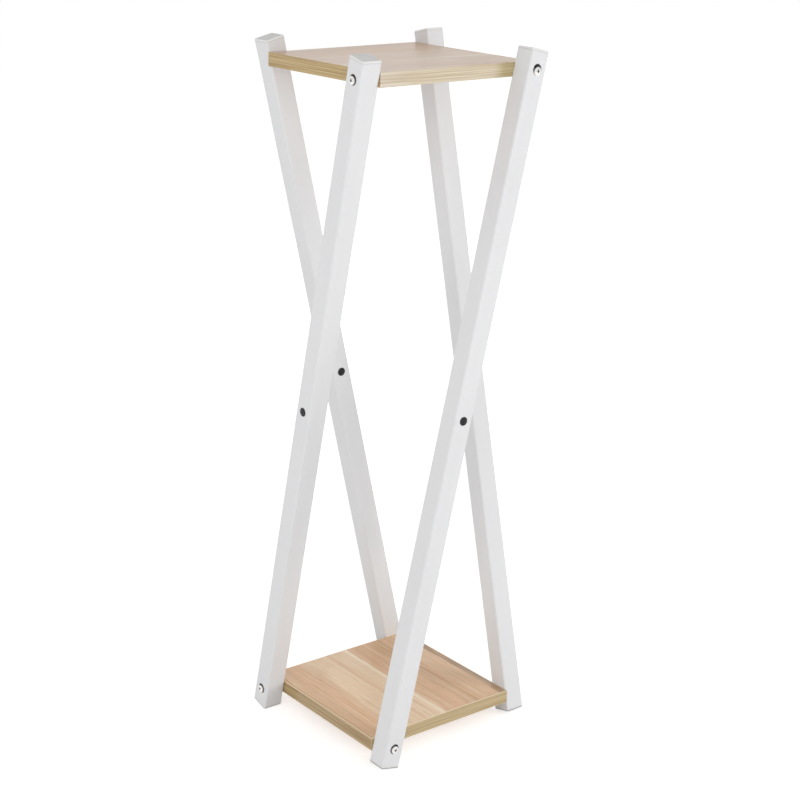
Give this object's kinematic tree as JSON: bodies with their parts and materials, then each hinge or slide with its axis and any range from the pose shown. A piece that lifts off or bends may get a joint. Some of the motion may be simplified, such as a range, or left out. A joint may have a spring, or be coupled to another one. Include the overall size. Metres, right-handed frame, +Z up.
{
  "type": "plant stand",
  "caption": "Tall, slim plant stand: square wood-effect boards near the top and the floor, bolted between straight white square-tube legs that all lean the same way round.",
  "frame": {"origin": "on the floor, in the middle of the stand", "axes": "+Z up; -Y is the front, the side on which the front leg lies; +X is the front's right-hand side"},
  "size_m": [0.3164, 0.3164, 0.9819],
  "materials": {
    "white_coat": "satin powder coat",
    "white_plastic": "fine matt moulding",
    "wood_laminate": "satin wood-effect laminate",
    "wood_edge": "satin wood-effect edge band",
    "particle_board": "raw particle board",
    "bright_screw": "bright nickel plate",
    "zinc_steel": "zinc plate",
    "black_plastic": "matt black moulding"
  },
  "bodies": {
    "root": {"tube_front": "white_coat", "tube_right": "white_coat", "tube_back": "white_coat", "tube_left": "white_coat", "top_cap_front": "white_plastic", "top_cap_right": "white_plastic", "top_cap_back": "white_plastic", "top_cap_left": "white_plastic", "foot_cap_front": "white_plastic", "foot_cap_right": "white_plastic", "foot_cap_back": "white_plastic", "foot_cap_left": "white_plastic", "top_core": "particle_board", "top_upper_laminate": "wood_laminate", "top_lower_laminate": "wood_laminate", "top_band_front": "wood_edge", "top_band_right": "wood_edge", "top_band_back": "wood_edge", "top_band_left": "wood_edge", "lower_core": "particle_board", "lower_upper_laminate": "wood_laminate", "lower_lower_laminate": "wood_laminate", "lower_band_front": "wood_edge", "lower_band_right": "wood_edge", "lower_band_back": "wood_edge", "lower_band_left": "wood_edge", "top_bolts": "bright_screw", "lower_bolts": "bright_screw", "top_sleeves": "zinc_steel", "lower_sleeves": "zinc_steel", "top_inserts": "zinc_steel", "lower_inserts": "zinc_steel", "outer_plugs": "black_plastic", "inner_plugs": "black_plastic"}
  },
  "joints": []
}
